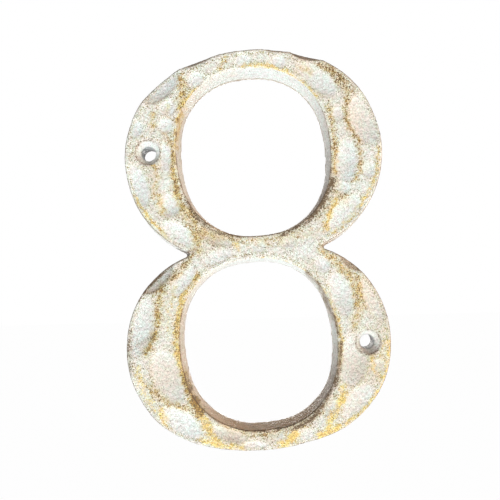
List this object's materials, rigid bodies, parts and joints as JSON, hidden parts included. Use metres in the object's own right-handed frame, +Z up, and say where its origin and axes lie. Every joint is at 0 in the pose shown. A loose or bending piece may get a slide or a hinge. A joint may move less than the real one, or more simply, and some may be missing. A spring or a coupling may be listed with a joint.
{
  "type": "cast iron house number",
  "caption": "Digit 8 house number, a flat-backed iron casting with a hammered face, open bowls and countersunk screw holes, painted off-white with gold on the ridges.",
  "frame": {"origin": "middle of the waist stroke on the flat back, where the number meets the wall", "axes": "+Z up the number, +Y out of the back into the wall, so the face looks towards -Y, and +X to the right of someone reading the number"},
  "size_m": [0.0856, 0.007, 0.1287],
  "materials": {
    "painted_iron": "sand-cast iron with a hammered face, off-white paint, old gold rubbed along the ridges"
  },
  "bodies": {
    "root": {"house_number": "painted_iron"}
  },
  "joints": []
}
